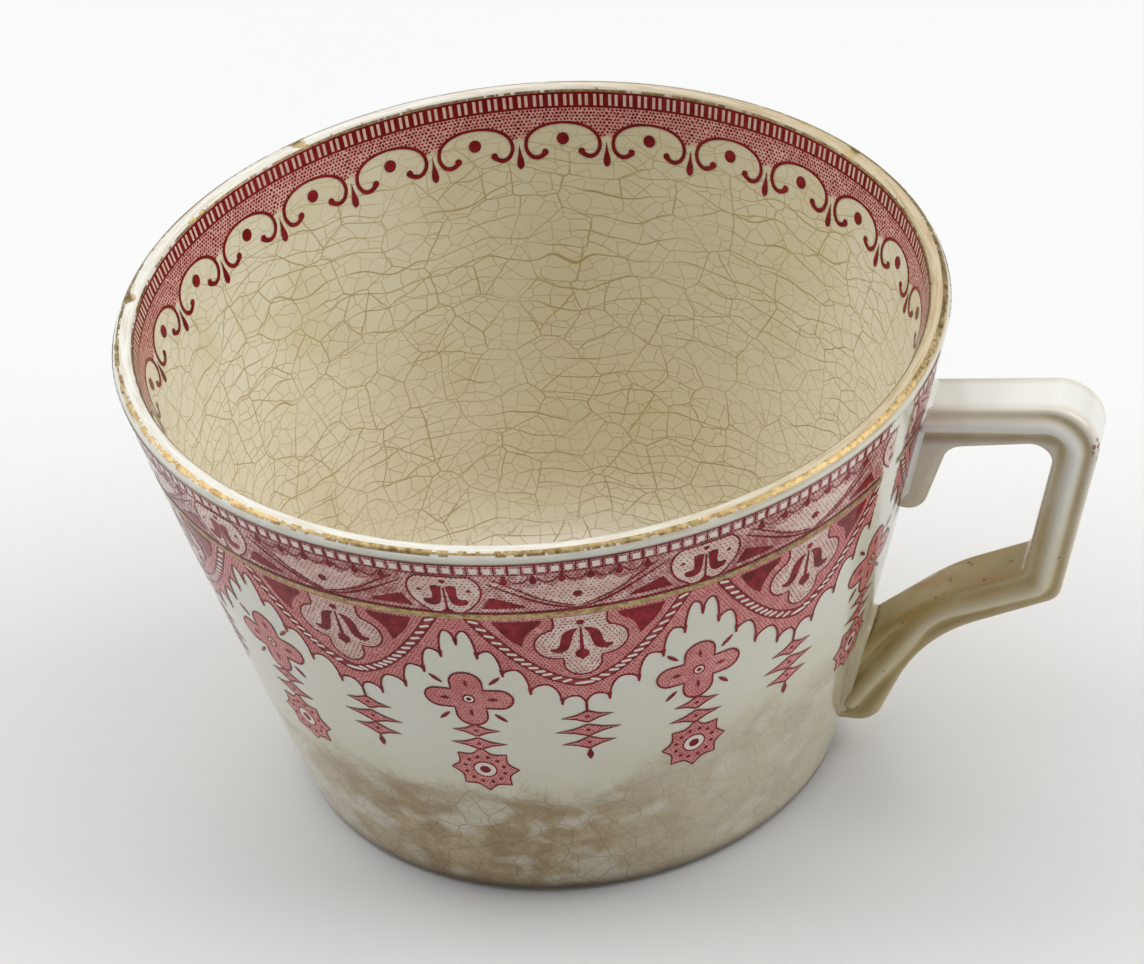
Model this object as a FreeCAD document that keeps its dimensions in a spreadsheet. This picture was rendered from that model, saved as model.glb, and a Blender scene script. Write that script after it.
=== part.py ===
import FreeCAD, Part

# An angular-handled teacup in printed and gilded earthenware, in millimetres.
# +Z is up and the origin is on the bowl's axis in the plane of the foot.
# The handle points along +X.

import math
import os

import Sketcher
from FreeCAD import Placement, Rotation, Vector

DIMENSIONS = (
    # Bowl: radii of the corners of its section, before they are rounded.
    ("rim_radius", 47.75, "outside of the wall at the lip"),
    ("cup_height", 60.0, "foot plane to lip"),
    ("waist_radius", 40.05, "control corner of the slightly bowed wall"),
    ("waist_level", 29.85, "height of that corner"),
    ("wall_bow", 1500.0, "radius of the bow in the wall"),
    ("foot_radius", 31.4, "outside of the wall at the foot plane"),
    ("foot_rounding", 1.2, "outer edge of the foot"),
    ("foot_ring_inside", 26.4, "inside of the foot ring"),
    ("foot_recess", 1.6, "depth of the turned recess"),
    ("recess_rounding", 0.8, "corner of the recess"),
    ("lip_thickness", 2.5, "wall at the lip"),
    ("lip_outer_rounding", 1.05, "outer edge of the lip"),
    ("lip_inner_rounding", 1.25, "inner edge of the lip"),
    ("wall_thickness", 3.1, "wall measured level, at the waist"),
    ("floor_level", 5.6, "top of the floor"),
    ("floor_radius", 29.6, "inside corner of wall and floor"),
    ("floor_rounding", 7.0, "rounding of that corner"),
    # Handle: its side outline, as corners (reach from the axis, level) with roundings.
    ("handle_width", 7.6, "across the handle"),
    ("handle_edge", 0.8, "rounding of the long edges"),
    ("crown_root_level", 50.5, "top of the bar inside the wall"),
    ("crown_reach", 66.4, "outer top corner"),
    ("crown_level", 52.25, "outer top corner"),
    ("crown_rounding", 5.2, "outer top corner"),
    ("heel_reach", 59.5, "outer bottom corner"),
    ("heel_level", 25.2, "outer bottom corner"),
    ("heel_rounding", 2.2, "outer bottom corner"),
    ("bend_reach", 43.0, "underside where the arm turns down"),
    ("bend_level", 18.7, "underside where the arm turns down"),
    ("bend_rounding", 18.0, "underside where the arm turns down"),
    ("terminal_reach", 36.6, "foot of the arm's terminal"),
    ("terminal_level", 6.1, "foot of the arm's terminal"),
    ("terminal_rounding", 3.6, "foot of the arm's terminal"),
    ("arm_root_reach", 30.0, "top of the arm inside the wall"),
    ("arm_root_level", 12.15, "top of the arm inside the wall"),
    ("arm_reach", 46.3, "top of the arm where it bends"),
    ("arm_level", 24.9, "top of the arm where it bends"),
    ("arm_rounding", 25.0, "top of the arm where it bends"),
    ("crook_reach", 55.5, "inner bottom corner"),
    ("crook_level", 28.7, "inner bottom corner"),
    ("crook_rounding", 1.2, "inner bottom corner"),
    ("eye_reach", 60.1, "inner top corner"),
    ("eye_level", 47.05, "inner top corner"),
    ("eye_rounding", 2.3, "inner top corner"),
    ("spur_reach", 47.5, "spur under the bar"),
    ("spur_level", 45.6, "spur under the bar"),
    ("spur_rounding", 2.0, "spur under the bar"),
    ("spur_tip_reach", 43.8, "lower end of the spur"),
    ("spur_tip_level", 36.3, "lower end of the spur"),
    ("spur_tip_rounding", 3.0, "lower end of the spur"),
    ("root_reach", 36.0, "where the outline closes inside the wall"),
    # Moulded bead along each side of the handle.
    ("bead_radius", 1.25, "half of its width"),
    ("bead_stand", 0.4, "how far it stands proud of the handle's side"),
    ("bead_root_reach", 38.0, "where it starts inside the wall"),
    ("bead_root_level", 48.75, "where it starts inside the wall"),
    ("bead_crown_rounding", 3.2, "its outer top corner"),
    ("bead_heel_rounding", 1.5, "its outer bottom corner"),
    ("bead_bend_rounding", 9.0, "its turn down the arm"),
    ("bead_lift", 0.3, "how far it rides above the middle of the arm"),
    ("bead_end_reach", 34.6, "where it ends inside the terminal"),
    ("bead_end_level", 9.7, "where it ends inside the terminal"),
    # Luting slip between the handle and the wall.
    ("slip_thickness", 0.4, "film of slip"),
    ("slip_squeeze", 0.6, "how far it shows round the handle"),
    ("slip_rounding", 1.8, "corners of the film"),
    ("upper_slip_top", 51.9, "upper edge of the upper film"),
    ("lower_slip_top", 19.3, "upper edge of the lower film"),
    # Transfer prints and gilding.
    ("skin", 0.12, "ink or gold layer"),
    ("outer_print_top", 57.8, "upper edge of the outer print"),
    ("outer_print_bottom", 14.6, "lowest point of its pendants"),
    ("scallop_level", 22.5, "lowest point of its scallops"),
    ("scallop_half_width", 10.2, "half of the gap between two pendants' stems"),
    ("scallop_rounding", 6.0, "corners of that gap"),
    ("scallop_cut_level", 6.0, "where the cutter for that gap starts, well below the print"),
    ("print_repeats", 10, "pendants round the cup"),
    ("handle_gap", 14.5, "degrees left unprinted for the handle"),
    ("inner_print_bottom", 51.6, "lower edge of the inner print"),
    ("gilt_lip_level", 59.0, "lower edge of the gilt lip and upper edge of the inner print"),
    ("gilt_line_level", 50.3, "middle of the gilt line"),
    ("gilt_line_width", 1.0, "height of the gilt line"),
    # Cutters that only have to be larger than the cup.
    ("trim_reach", 80.0, "outer radius of the trimming cuts"),
    ("trim_reach_wide", 85.0, "outer radius where two of them meet"),
    ("trim_top", 65.0, "upper end of the trimming cuts"),
)

os.makedirs("parts", exist_ok=True)
doc = FreeCAD.newDocument("teacup")


def write_sheet():
    """Put every driving dimension in a named cell."""
    sheet = doc.addObject("Spreadsheet::Sheet", "dims")
    for row, (name, value, note) in enumerate(DIMENSIONS, start=1):
        sheet.set(f"A{row}", note)
        sheet.set(f"B{row}", str(value))
        sheet.setAlias(f"B{row}", name)
    doc.recompute()
    return sheet


sheet = write_sheet()


def bound(text):
    """Turn words such as rim_radius - skin into an expression on the sheet's cells."""
    words = text.replace("(", "( ").replace(")", " )").split()
    names = {name for name, _, _ in DIMENSIONS}
    return " ".join(f"dims.{word}" if word in names else word for word in words)


def value(text):
    """The number that such an expression has now."""
    return float(sheet.evalExpression(bound(text)))


# ---------------------------------------------------------------- sketching

def origin_feature(body, role):
    """One of a body's own origin planes or axes."""
    return next(f for f in body.Origin.OriginFeatures if f.Role == role)


def new_body(label):
    body = doc.addObject("PartDesign::Body", label)
    body.Label = label
    return body


def new_sketch(body, name, role="XZ_Plane"):
    sketch = body.newObject("Sketcher::SketchObject", name)
    sketch.AttachmentSupport = [(origin_feature(body, role), "")]
    sketch.MapMode = "FlatFace"
    return sketch


def tie(sketch, constraint, text):
    """Add a dimension to a sketch and bind it to the sheet."""
    index = sketch.addConstraint(constraint)
    sketch.setExpression(f"Constraints[{index}]", bound(text))


def pin(sketch, geometry, end, across, up):
    """Hold one point of a sketch at a distance across and up from the origin."""
    for kind, axis, text in (("DistanceX", -2, across), ("DistanceY", -1, up)):
        if text == "0":
            sketch.addConstraint(Sketcher.Constraint("PointOnObject", geometry, end, axis))
        else:
            tie(sketch, Sketcher.Constraint(kind, -1, 1, geometry, end, value(text)), text)


def corner_arc(before, corner, after, radius):
    """Centre, ends and turning sense of the arc that rounds a corner."""
    back = (before - corner).normalize()
    ahead = (after - corner).normalize()
    half = back.getAngle(ahead) / 2
    start = corner + back * (radius / math.tan(half))
    end = corner + ahead * (radius / math.tan(half))
    centre = corner + (back + ahead).normalize() * (radius / math.sin(half))
    turns_left = back.cross(ahead).z < 0
    return centre, start, end, turns_left


def add_arc(sketch, centre, start, end, turns_left):
    """Add the rounding arc and give the numbers of its first and last points on the route."""
    first, last = (start, end) if turns_left else (end, start)
    angles = [math.atan2(p.y - centre.y, p.x - centre.x) for p in (first, last)]
    circle = Part.Circle(centre, Vector(0, 0, 1), (start - centre).Length)
    arc = sketch.addGeometry(Part.ArcOfCircle(circle, angles[0], angles[1]), False)
    return (arc, 1, 2) if turns_left else (arc, 2, 1)


def rounded_route(sketch, corners, closed=True):
    """Draw straight sides between corners, each (across, up, rounding or None)."""
    points = [Vector(value(c[0]), value(c[1]), 0) for c in corners]
    count = len(points)
    arcs = {}
    for i, (_, _, rounding) in enumerate(corners):
        if rounding:
            arcs[i] = corner_arc(points[i - 1], points[i], points[(i + 1) % count], value(rounding))
    sides = []
    for i in range(count if closed else count - 1):
        j = (i + 1) % count
        start = arcs[i][2] if i in arcs else points[i]
        end = arcs[j][1] if j in arcs else points[j]
        sides.append(sketch.addGeometry(Part.LineSegment(start, end), False))
    for i, (across, up, rounding) in enumerate(corners):
        arriving = sides[i - 1] if closed or i > 0 else None
        leaving = sides[i] if i < len(sides) else None
        if not rounding:
            if arriving is not None and leaving is not None:
                sketch.addConstraint(Sketcher.Constraint("Coincident", arriving, 2, leaving, 1))
            end = (leaving, 1) if leaving is not None else (arriving, 2)
            pin(sketch, end[0], end[1], across, up)
            continue
        arc, first, last = add_arc(sketch, *arcs[i])
        mark = sketch.addGeometry(Part.Point(points[i]), True)
        sketch.addConstraint(Sketcher.Constraint("Tangent", arriving, 2, arc, first))
        sketch.addConstraint(Sketcher.Constraint("Tangent", arc, last, leaving, 1))
        sketch.addConstraint(Sketcher.Constraint("PointOnObject", mark, 1, arriving))
        sketch.addConstraint(Sketcher.Constraint("PointOnObject", mark, 1, leaving))
        pin(sketch, mark, 1, across, up)
        tie(sketch, Sketcher.Constraint("Radius", arc, value(rounding)), rounding)


def rounded_rectangle(sketch, half, low, high, rounding):
    """Draw a rounded rectangle that is symmetric about the sketch's upright axis."""
    low_now, high_now, half_now = value(low), value(high), value(half)
    radius = value(rounding)
    corners = [Vector(-half_now, low_now, 0), Vector(half_now, low_now, 0),
               Vector(half_now, high_now, 0), Vector(-half_now, high_now, 0)]
    arcs = [corner_arc(corners[i - 1], corners[i], corners[(i + 1) % 4], radius) for i in range(4)]
    sides = []
    for i in range(4):
        line = Part.LineSegment(arcs[i][2], arcs[(i + 1) % 4][1])
        sides.append(sketch.addGeometry(line, False))
    bends = [add_arc(sketch, *arc) for arc in arcs]
    for i in range(4):
        arc, first, last = bends[i]
        sketch.addConstraint(Sketcher.Constraint("Tangent", sides[i - 1], 2, arc, first))
        sketch.addConstraint(Sketcher.Constraint("Tangent", arc, last, sides[i], 1))
        tie(sketch, Sketcher.Constraint("Radius", arc, radius), rounding)
    for side in (0, 2):
        sketch.addConstraint(Sketcher.Constraint("Horizontal", sides[side]))
    for side in (1, 3):
        sketch.addConstraint(Sketcher.Constraint("Vertical", sides[side]))
    tie(sketch, Sketcher.Constraint("DistanceX", -1, 1, sides[1], 1, half_now), half)
    tie(sketch, Sketcher.Constraint("DistanceX", sides[3], 1, -1, 1, half_now), half)
    tie(sketch, Sketcher.Constraint("DistanceY", -1, 1, sides[0], 1, low_now), low)
    tie(sketch, Sketcher.Constraint("DistanceY", -1, 1, sides[2], 1, high_now), high)


# ---------------------------------------------------------------- features

def turned(body, name, kind, corners, angle="360"):
    """Turn a section about the cup's axis, to add to the body or to cut from it."""
    sketch = new_sketch(body, f"{name}_section")
    rounded_route(sketch, corners)
    feature = body.newObject(kind, name)
    feature.Profile = sketch
    feature.ReferenceAxis = (sketch, ["V_Axis"])
    feature.Midplane = True
    feature.setExpression("Angle", bound(angle))
    doc.recompute()
    return feature


def add_turned(body, name, corners, angle="360"):
    return turned(body, name, "PartDesign::Revolution", corners, angle)


def cut_turned(body, name, corners):
    """A turned cut, which has to remove something."""
    before = body.Shape.Volume
    feature = turned(body, name, "PartDesign::Groove", corners)
    if not body.Shape.Volume < before:
        raise RuntimeError(f"{name} cuts nothing from {body.Label}")
    return feature


def extruded(body, sketch, name, kind, length, side="Symmetric"):
    feature = body.newObject(kind, name)
    feature.Profile = sketch
    feature.SideType = side
    feature.setExpression("Length", bound(length))
    doc.recompute()
    return feature


def outer_wall(offset):
    """Corners of the outside wall, foot to lip, moved out by a distance."""
    return [
        (f"foot_radius + {offset}", "0", None),
        (f"waist_radius + {offset}", "waist_level", "wall_bow"),
        (f"rim_radius + {offset}", "cup_height", None),
    ]


def inner_wall(offset):
    """Corners of the inside wall, lip to floor, moved in by a distance."""
    return [
        (f"rim_radius - lip_thickness - {offset}", "cup_height", None),
        (f"waist_radius - wall_thickness - {offset}", "waist_level", "wall_bow"),
        (f"floor_radius - {offset}", "floor_level", None),
    ]


def trim_levels(body, low, high):
    """Cut a turned body off level, below one height and above another."""
    cut_turned(body, "cut_below", [
        ("0", "0", None), ("trim_reach", "0", None), ("trim_reach", low, None), ("0", low, None)])
    cut_turned(body, "cut_above", [
        ("0", high, None), ("trim_reach", high, None), ("trim_reach", "trim_top", None),
        ("0", "trim_top", None)])


def turn_to_back(body):
    """Face a body's middle away from the handle, so that its gap is at the handle."""
    body.Placement = Placement(Vector(0, 0, 0), Rotation(Vector(0, 0, 1), 180))


# ---------------------------------------------------------------- sub-parts

def make_bowl():
    """Tapering bowl with a full-rounded lip and a low foot ring turned from the same clay."""
    body = new_body("bowl")
    foot = [
        ("0", "foot_recess", None),
        ("foot_ring_inside", "foot_recess", "recess_rounding"),
        ("foot_ring_inside", "0", None),
        ("foot_radius", "0", "foot_rounding"),
    ]
    wall = [
        ("waist_radius", "waist_level", "wall_bow"),
        ("rim_radius", "cup_height", "lip_outer_rounding"),
        ("rim_radius - lip_thickness", "cup_height", "lip_inner_rounding"),
        ("waist_radius - wall_thickness", "waist_level", "wall_bow"),
        ("floor_radius", "floor_level", "floor_rounding"),
        ("0", "floor_level", None),
    ]
    add_turned(body, "turned_bowl", foot + wall)
    return body


def handle_outline():
    """Side view of the handle, from the crown round the outside and back round the eye."""
    return [
        ("root_reach", "crown_root_level", None),
        ("root_reach", "spur_tip_level", None),
        ("spur_tip_reach", "spur_tip_level", "spur_tip_rounding"),
        ("spur_reach", "spur_level", "spur_rounding"),
        ("eye_reach", "eye_level", "eye_rounding"),
        ("crook_reach", "crook_level", "crook_rounding"),
        ("arm_reach", "arm_level", "arm_rounding"),
        ("arm_root_reach", "arm_root_level", None),
        ("arm_root_reach", "terminal_level", None),
        ("terminal_reach", "terminal_level", "terminal_rounding"),
        ("bend_reach", "bend_level", "bend_rounding"),
        ("heel_reach", "heel_level", "heel_rounding"),
        ("crown_reach", "crown_level", "crown_rounding"),
    ]


def side_edges(shape, half_width):
    """Names of the edges that bound the two flat sides."""
    names = []
    for number, edge in enumerate(shape.Edges, start=1):
        levels = [abs(abs(v.Point.y) - half_width) for v in edge.Vertexes]
        if max(levels) < 1e-4:
            names.append(f"Edge{number}")
    return names


def bead_path(sketch):
    """Middle line of the handle's side, from the bar round to the terminal."""
    rounded_route(sketch, [
        ("bead_root_reach", "bead_root_level", None),
        ("(crown_reach + eye_reach) / 2", "(crown_level + eye_level) / 2", "bead_crown_rounding"),
        ("(heel_reach + crook_reach) / 2", "(heel_level + crook_level) / 2", "bead_heel_rounding"),
        ("(bend_reach + arm_reach) / 2", "(bend_level + arm_level) / 2 + bead_lift", "bead_bend_rounding"),
        ("bead_end_reach", "bead_end_level", None),
    ], closed=False)


def add_bead(body, name, side):
    """A half-round bead that runs along one side of the handle."""
    across = f"{side} * (handle_width / 2 + bead_stand - bead_radius)"
    path = new_sketch(body, f"{name}_path")
    path.setExpression("AttachmentOffset.Base.z", bound(f"-1 * {across}"))
    bead_path(path)
    section = new_sketch(body, f"{name}_section", "YZ_Plane")
    section.setExpression("AttachmentOffset.Base.z", bound("bead_root_reach"))
    middle = Vector(value(across), value("bead_root_level"), 0)
    circle = section.addGeometry(Part.Circle(middle, Vector(0, 0, 1), value("bead_radius")), False)
    tie(section, Sketcher.Constraint("Radius", circle, value("bead_radius")), "bead_radius")
    pin(section, circle, 3, across, "bead_root_level")
    doc.recompute()
    pipe = body.newObject("PartDesign::AdditivePipe", name)
    pipe.Profile = section
    pipe.Spine = path
    doc.recompute()
    return pipe


def make_handle():
    """Angular loop handle with a spur, beaded sides and ends shaped to the wall."""
    body = new_body("handle")
    outline = new_sketch(body, "side_outline")
    rounded_route(outline, handle_outline())
    blank = extruded(body, outline, "blank", "PartDesign::Pad", "handle_width")
    edges = body.newObject("PartDesign::Fillet", "long_edges")
    edges.Base = (blank, side_edges(blank.Shape, value("handle_width / 2")))
    edges.setExpression("Radius", bound("handle_edge"))
    doc.recompute()
    for name, side in (("near_bead", -1), ("far_bead", 1)):
        add_bead(body, name, side)
    cut_turned(body, "seat", [("0", "0", None)] + outer_wall("slip_thickness") + [
        ("0", "cup_height", None)])
    return body


def make_slip_joint(label, low, high):
    """Film of slip on the wall behind one end of the handle, squeezed out a little all round."""
    body = new_body(label)
    outline = new_sketch(body, "film_outline", "YZ_Plane")
    rounded_rectangle(outline, "handle_width / 2 + slip_squeeze", low, high, "slip_rounding")
    extruded(body, outline, "film_block", "PartDesign::Pad", "trim_reach", "One side")
    cut_turned(body, "against_wall", [("0", "0", None)] + outer_wall("0") + [
        ("0", "cup_height", None)])
    cut_turned(body, "film_face", outer_wall("slip_thickness") + [
        ("trim_reach_wide", "cup_height", None), ("trim_reach_wide", "0", None)])
    return body


def make_outer_print():
    """Ink layer of the outer print: a band that ends in scallops between its pendants."""
    body = new_body("outer_transfer_print")
    skin = outer_wall("0") + outer_wall("skin")[::-1]
    add_turned(body, "ink_band", skin, "360 - handle_gap")
    trim_levels(body, "outer_print_bottom", "outer_print_top")
    cut_scallops(body)
    turn_to_back(body)
    return body


def cut_scallops(body):
    """Cut the plain gaps between the pendants from the lower edge of the band."""
    sketch = new_sketch(body, "gap_outline", "YZ_Plane")
    rounded_rectangle(sketch, "scallop_half_width", "scallop_cut_level", "scallop_level",
                      "scallop_rounding")
    before = body.Shape.Volume
    gap = extruded(body, sketch, "gap", "PartDesign::Pocket", "trim_reach", "One side")
    gap.Reversed = True
    doc.recompute()
    pattern = body.newObject("PartDesign::PolarPattern", "gaps")
    pattern.Originals = [gap]
    pattern.Axis = (origin_feature(body, "Z_Axis"), [""])
    pattern.Angle = 360
    pattern.setExpression("Occurrences", bound("print_repeats"))
    body.Tip = pattern
    doc.recompute()
    if not body.Shape.Volume < before:
        raise RuntimeError("the gaps between the pendants cut nothing")


def make_inner_print():
    """Ink layer of the border inside the lip."""
    body = new_body("inner_transfer_print")
    add_turned(body, "ink_band", inner_wall("0") + inner_wall("skin")[::-1])
    trim_levels(body, "inner_print_bottom", "gilt_lip_level")
    return body


def make_rim_gilding():
    """Thin gold over the rounded lip."""
    body = new_body("rim_gilding")
    lip = [
        ("waist_radius", "waist_level", None),
        ("rim_radius", "cup_height", "lip_outer_rounding"),
        ("rim_radius - lip_thickness", "cup_height", "lip_inner_rounding"),
        ("waist_radius - wall_thickness", "waist_level", None),
    ]
    gold = [
        ("waist_radius - wall_thickness - skin", "waist_level", None),
        ("rim_radius - lip_thickness - skin", "cup_height + skin", "lip_inner_rounding + skin"),
        ("rim_radius + skin", "cup_height + skin", "lip_outer_rounding + skin"),
        ("waist_radius + skin", "waist_level", None),
    ]
    add_turned(body, "gold_cap", lip + gold)
    cut_turned(body, "cut_below", [
        ("0", "0", None), ("trim_reach", "0", None),
        ("trim_reach", "gilt_lip_level", None), ("0", "gilt_lip_level", None)])
    return body


def make_waist_gilding():
    """Gilt line painted over the outer print."""
    body = new_body("waist_gilding")
    gold = outer_wall("skin") + outer_wall("2 * skin")[::-1]
    add_turned(body, "gold_line", gold, "360 - handle_gap")
    trim_levels(body, "gilt_line_level - gilt_line_width / 2", "gilt_line_level + gilt_line_width / 2")
    turn_to_back(body)
    return body


# ---------------------------------------------------------------- checks and export

def check_document():
    """Stop if any feature failed."""
    for feature in doc.Objects:
        if "Invalid" in feature.State or "Error" in feature.State:
            raise RuntimeError(f"{feature.Name} failed: {feature.State}")


def check_shape(body):
    """Stop unless a sub-part is one sound solid."""
    shape = body.Shape
    if shape.isNull() or not shape.isValid() or len(shape.Solids) != 1:
        raise RuntimeError(f"{body.Label} is not one valid solid")


def export(bodies):
    for body in bodies:
        check_shape(body)
    for body in bodies:
        body.Shape.exportStep(f"parts/{body.Label}.step")
        box = body.Shape.optimalBoundingBox()
        size = " x ".join(f"{side:.2f}" for side in (box.XLength, box.YLength, box.ZLength))
        print(f"{body.Label}: {size} mm, {body.Shape.Volume:.1f} mm3")


bodies = [
    make_bowl(),
    make_handle(),
    make_slip_joint("upper_slip_joint", "spur_tip_level - slip_squeeze", "upper_slip_top"),
    make_slip_joint("lower_slip_joint", "terminal_level - slip_squeeze", "lower_slip_top"),
    make_outer_print(),
    make_inner_print(),
    make_rim_gilding(),
    make_waist_gilding(),
]
doc.recompute()
check_document()
export(bodies)
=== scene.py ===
import math
import random

import bmesh
import bpy
from mathutils import Matrix, Vector, geometry, noise


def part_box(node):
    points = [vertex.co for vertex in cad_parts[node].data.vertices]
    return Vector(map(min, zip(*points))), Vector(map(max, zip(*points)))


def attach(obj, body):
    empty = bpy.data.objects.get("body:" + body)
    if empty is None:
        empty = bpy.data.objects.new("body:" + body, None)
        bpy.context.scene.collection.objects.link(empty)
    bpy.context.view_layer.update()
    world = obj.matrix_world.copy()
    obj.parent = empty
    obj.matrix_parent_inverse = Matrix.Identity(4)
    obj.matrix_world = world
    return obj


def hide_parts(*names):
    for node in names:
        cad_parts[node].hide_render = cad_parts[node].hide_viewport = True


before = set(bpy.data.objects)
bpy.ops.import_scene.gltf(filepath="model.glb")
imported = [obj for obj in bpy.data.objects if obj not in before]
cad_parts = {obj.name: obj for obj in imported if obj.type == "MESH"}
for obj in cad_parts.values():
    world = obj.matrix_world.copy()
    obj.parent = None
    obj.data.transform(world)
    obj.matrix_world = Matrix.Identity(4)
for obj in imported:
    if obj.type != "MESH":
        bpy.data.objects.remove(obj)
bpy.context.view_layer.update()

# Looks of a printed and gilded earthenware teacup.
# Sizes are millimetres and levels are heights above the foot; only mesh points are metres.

MM = 0.001
TURN = 2 * math.pi

# ------------------------------------------------------------------ driving sizes

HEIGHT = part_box("bowl")[1][2] / MM
LIP_RADIUS = 47.75
FOOT_RADIUS = 31.4
RING_INSIDE = 26.4
RING_OUTSIDE = 30.6
RECESS_LEVEL = 1.6
WALL_BOW = 1.3
INSIDE_LIP = 45.25
FLOOR_LEVEL = 5.6
FLOOR_CORNER = 29.6
INSIDE_BOW = 1.0

# Mean radius at which the crazing is unrolled.
WALL_RADIUS = 41.0

HANDLE_HALF = 3.8
BEAD_HALF = 1.25

# Heights of the layers that lie on the glaze.
GROUND_LIFT = 0.03
DOT_LIFT = 0.04
VEIL_LIFT = 0.05
RESERVE_LIFT = 0.06
INK_LIFT = 0.08
GOLD_LIFT = 0.10


# ------------------------------------------------------------------ the thrown bowl

def wall_radius(level):
    """Outside of the wall."""
    up = level / HEIGHT
    return FOOT_RADIUS + (LIP_RADIUS - FOOT_RADIUS) * up + WALL_BOW * up * (1 - up)


def inside_radius(level):
    """Inside of the wall."""
    up = (level - FLOOR_LEVEL) / (HEIGHT - FLOOR_LEVEL)
    return FLOOR_CORNER + (INSIDE_LIP - FLOOR_CORNER) * up + INSIDE_BOW * up * (1 - up)


def place(azimuth, radius, level):
    """A point of the bowl in metres. The lip is a little out of round and of level."""
    high = (level / HEIGHT) ** 2
    radius += high * (0.07 * math.sin(2 * azimuth + 0.7) + 0.04 * math.sin(3 * azimuth + 2.1))
    level += high * 0.08 * math.sin(2 * azimuth - 0.4)
    return Vector((radius * math.cos(azimuth), radius * math.sin(azimuth), level)) * MM


def rounded(corners, step=1.0):
    """Points along straight runs between corners (across, up, rounding), with arcs at the corners."""
    points = []
    flat = [Vector((c[0], c[1])) for c in corners]
    for i, (_, _, rounding) in enumerate(corners):
        here = flat[i]
        if rounding and 0 < i < len(corners) - 1:
            back = (flat[i - 1] - here).normalized()
            ahead = (flat[i + 1] - here).normalized()
            half = back.angle(ahead) / 2
            reach = rounding / math.tan(half)
            centre = here + (back + ahead).normalized() * rounding / math.sin(half)
            start = here + back * reach - centre
            turn = start.angle_signed(here + ahead * reach - centre)
            count = max(4, int(abs(turn) * rounding / 0.22))
            arc = [centre + Matrix.Rotation(-turn * k / count, 2) @ start for k in range(count + 1)]
        else:
            arc = [here]
        if points:
            run = arc[0] - points[-1]
            count = max(1, int(run.length / step))
            last = points[-1]
            points += [last + run * k / count for k in range(1, count)]
        points += arc
    return points


# ------------------------------------------------------------------ meshes

def new_piece(name, mesh, material, body="root"):
    """An object that rides on the frame and carries the given material."""
    piece = bpy.data.objects.new(name, mesh)
    bpy.context.scene.collection.objects.link(piece)
    mesh.materials.append(material)
    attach(piece, body)
    return piece


def smooth_mesh(name, points, faces):
    mesh = bpy.data.meshes.new(name)
    mesh.from_pydata([tuple(p) for p in points], [], faces)
    mesh.validate()
    mesh.shade_smooth()
    return mesh


def lip_line(lift, step):
    """Outline of the lip from outside to inside, raised off the clay by lift."""
    return rounded([
        (wall_radius(HEIGHT - 1.5) + lift, HEIGHT - 1.5, 0),
        (LIP_RADIUS - 0.05 + lift, HEIGHT + lift, 1.25 + lift),
        (INSIDE_LIP + 0.05 - lift, HEIGHT + lift, 0.75 + lift),
        (inside_radius(HEIGHT - 1.0) - lift, HEIGHT - 1.0, 0)], step)


def make_bowl_mesh():
    """Revolve the section: recess, foot ring, wall, lip, inside wall, floor."""
    outside = rounded([
        (0, RECESS_LEVEL, 0),
        (RING_INSIDE, RECESS_LEVEL, 0.8),
        (RING_INSIDE, 0, 0.35),
        (RING_OUTSIDE, 0, 0.9)], 1.5)
    lift = 0.9
    wall = [Vector((wall_radius(z), z)) for z in frange(lift, HEIGHT - 1.6, 1.1)]
    lip = lip_line(0.0, 0.4)
    inside = [Vector((inside_radius(z), z)) for z in frange(HEIGHT - 1.5, 14.5, -1.1)]
    floor = rounded([(inside_radius(14), 14, 0), (FLOOR_CORNER, FLOOR_LEVEL, 7.0), (0, FLOOR_LEVEL, 0)], 1.2)
    section = outside[:-1] + wall + lip + inside + floor
    return revolve("bowl_glazed", section[1:-1], section[0], section[-1], 480)


def frange(start, stop, step):
    """Evenly spaced numbers from start to stop."""
    count = max(1, round((stop - start) / step))
    return [start + (stop - start) * k / count for k in range(count + 1)]


def revolve(name, section, low_pole, high_pole, sides):
    points = [place(TURN * k / sides, p.x, p.y) for p in section for k in range(sides)]
    points += [place(0, low_pole.x, low_pole.y), place(0, high_pole.x, high_pole.y)]
    low, high = len(points) - 2, len(points) - 1
    faces = []
    for row in range(len(section) - 1):
        for k in range(sides):
            a, b = row * sides + k, row * sides + (k + 1) % sides
            faces.append((a, b, b + sides, a + sides))
    last = (len(section) - 1) * sides
    for k in range(sides):
        faces.append((low, (k + 1) % sides, k))
        faces.append((high, last + k, last + (k + 1) % sides))
    points = [chip(p) for p in points]
    return smooth_mesh(name, points, faces)


# Small chips in the lip: azimuth in degrees, radius and level of the middle, size.
CHIPS = ((138.6, 46.2, 60.1, 1.0), (183.4, 46.6, 60.0, 1.1), (47.8, 46.0, 60.1, 1.1))


def chip(point):
    """Press a point of the lip in where a chip has gone."""
    for azimuth, radius, level, size in CHIPS:
        middle = place(math.radians(azimuth), radius, level)
        gap = (point - middle).length / MM
        if gap < size:
            depth = 0.45 * (1 - (gap / size) ** 2)
            rough = 0.12 * noise.noise(point * 2500)
            inward = (Vector((0, 0, -0.7)) - point.normalized() * 0.7)
            return point + inward * (depth + rough) * MM
    return point


# ------------------------------------------------------------------ the handle

def sunk(level):
    """Where the handle's ends stop, just inside the wall."""
    return wall_radius(level) - 1.0


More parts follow.
